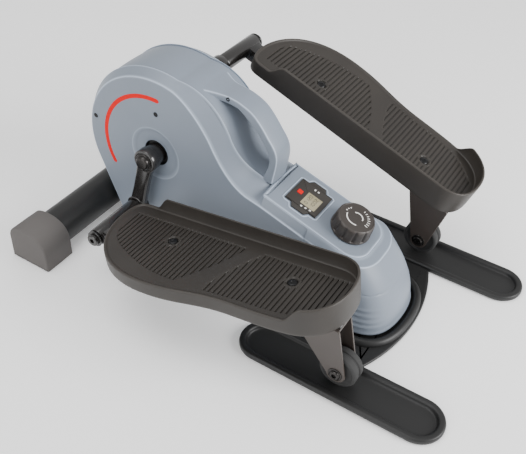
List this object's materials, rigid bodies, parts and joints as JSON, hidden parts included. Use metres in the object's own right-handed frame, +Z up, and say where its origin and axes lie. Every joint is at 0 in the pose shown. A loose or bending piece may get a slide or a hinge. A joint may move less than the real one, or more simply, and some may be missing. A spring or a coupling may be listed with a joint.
{
  "type": "pedal exerciser",
  "caption": "Under-desk elliptical pedal exerciser with cranked foot platforms, heel rollers on floor tracks, moulded housing with carry handle, display and tension knob.",
  "frame": {"origin": "on the floor, under the middle of the machine's overall box", "axes": "+X is the rider's right, +Y points away from the rider towards the crank and front stabiliser, +Z is up"},
  "size_m": [0.424, 0.593, 0.2539],
  "materials": {
    "black_powder_coat": "semi-gloss black powder coat",
    "rubber_foot": "matte dark grey rubber",
    "housing_plastic": "satin blue-grey moulding",
    "black_enamel_steel": "gloss black enamel",
    "pedal_plastic": "fine-textured brown-black moulding",
    "roller_tyre": "dark polyurethane",
    "console_black": "satin black",
    "lcd_glass": "beige display window",
    "button_red": "red",
    "circuit_board": "green solder mask",
    "belt_rubber": "ribbed rubber",
    "inner_plastic": "glass-filled nylon",
    "flywheel_iron": "turned cast iron",
    "black_screws": "black oxide",
    "zinc_steel": "zinc-plated steel"
  },
  "bodies": {
    "base": {"stabiliser_tube": "black_powder_coat", "end_cap_left": "rubber_foot", "end_cap_right": "rubber_foot", "main_beam": "black_powder_coat", "frame_plate_left": "black_powder_coat", "frame_plate_right": "black_powder_coat", "bearing_shell": "black_powder_coat", "crank_bearings": "zinc_steel", "flywheel_bearings": "zinc_steel", "base_pan": "black_powder_coat", "track_left": "black_powder_coat", "track_right": "black_powder_coat", "track_feet": "rubber_foot", "side_cover_left": "housing_plastic", "side_cover_right": "housing_plastic", "drum_cover": "housing_plastic", "console_deck": "housing_plastic", "tail_cover": "housing_plastic", "carry_handle": "housing_plastic", "cover_screws": "black_screws", "display_case": "console_black", "lcd_window": "lcd_glass", "display_board": "circuit_board", "battery_cell": "zinc_steel", "cable_sheath": "belt_rubber", "speed_sensor": "inner_plastic", "sensor_lead": "belt_rubber", "drive_belt": "belt_rubber", "magnet_pivot_pin": "zinc_steel"},
    "crank": {"crank_axle": "zinc_steel", "crank_arm_left": "black_enamel_steel", "crank_arm_right": "black_enamel_steel", "drive_pulley": "inner_plastic", "sensor_magnet": "zinc_steel", "pedal_spindles": "zinc_steel", "spindle_bolts": "zinc_steel", "axle_nuts": "zinc_steel"},
    "flywheel_set": {"flywheel": "flywheel_iron", "flywheel_axle": "zinc_steel", "belt_pulley": "zinc_steel"},
    "knob": {"resistance_knob": "console_black", "knob_spindle": "zinc_steel"},
    "brake": {"magnet_carrier": "inner_plastic", "brake_magnets": "zinc_steel", "return_spring": "zinc_steel"},
    "button": {"display_button": "button_red"},
    "pedal_left_set": {"pedal_left": "pedal_plastic", "pedal_arm_left": "black_enamel_steel", "spindle_bushes_left": "inner_plastic", "roller_bracket_left": "black_enamel_steel", "roller_axle_left": "zinc_steel", "pedal_screws_left": "black_screws"},
    "pedal_right_set": {"pedal_right": "pedal_plastic", "pedal_arm_right": "black_enamel_steel", "spindle_bushes_right": "inner_plastic", "roller_bracket_right": "black_enamel_steel", "roller_axle_right": "zinc_steel", "pedal_screws_right": "black_screws"},
    "roller_left_set": {"roller_left": "roller_tyre"},
    "roller_right_set": {"roller_right": "roller_tyre"}
  },
  "joints": [
    {"name": "crank_turn", "type": "hinge", "parent": "base", "child": "crank", "pos_m": [0, 0.161, 0.14], "axis": [1, 0, 0], "range_deg": [-18, 18]},
    {"name": "pedal_left_pivot", "type": "hinge", "parent": "crank", "child": "pedal_left_set", "pos_m": [0, 0.1804, 0.05981], "axis": [1, 0, 0], "range_deg": [-20, 20]},
    {"name": "pedal_right_pivot", "type": "hinge", "parent": "crank", "child": "pedal_right_set", "pos_m": [0, 0.1416, 0.22019], "axis": [1, 0, 0], "range_deg": [-20, 20]},
    {"name": "roller_left_spin", "type": "hinge", "parent": "pedal_left_set", "child": "roller_left_set", "pos_m": [-0.1327, -0.16605, 0.031], "axis": [1, 0, 0], "continuous": true},
    {"name": "roller_right_spin", "type": "hinge", "parent": "pedal_right_set", "child": "roller_right_set", "pos_m": [0.1327, -0.15006, 0.031], "axis": [1, 0, 0], "continuous": true},
    {"name": "flywheel_spin", "type": "hinge", "parent": "base", "child": "flywheel_set", "pos_m": [0, 0.03, 0.086], "axis": [1, 0, 0], "range_deg": [-112, 112]},
    {"name": "knob_turn", "type": "hinge", "parent": "base", "child": "knob", "pos_m": [0, -0.098, 0.1093], "axis": [0, -0.2961, 0.9552], "range_deg": [0, 270]},
    {"name": "magnet_swing", "type": "hinge", "parent": "base", "child": "brake", "pos_m": [0, -0.034, 0.046], "axis": [1, 0, 0], "range_deg": [-3.2, 0]},
    {"name": "display_press", "type": "slide", "parent": "base", "child": "button", "axis": [0, 0.2961, -0.9552], "range_m": [0, 0.0008], "stiffness_N_per_m": 250}
  ],
  "couplings": [
    {"joint": "pedal_left_pivot", "follows": "crank_turn", "ratio": -0.945},
    {"joint": "pedal_right_pivot", "follows": "crank_turn", "ratio": -1.065},
    {"joint": "flywheel_spin", "follows": "crank_turn", "ratio": 6.1538},
    {"joint": "magnet_swing", "follows": "knob_turn", "ratio": -0.0111}
  ]
}
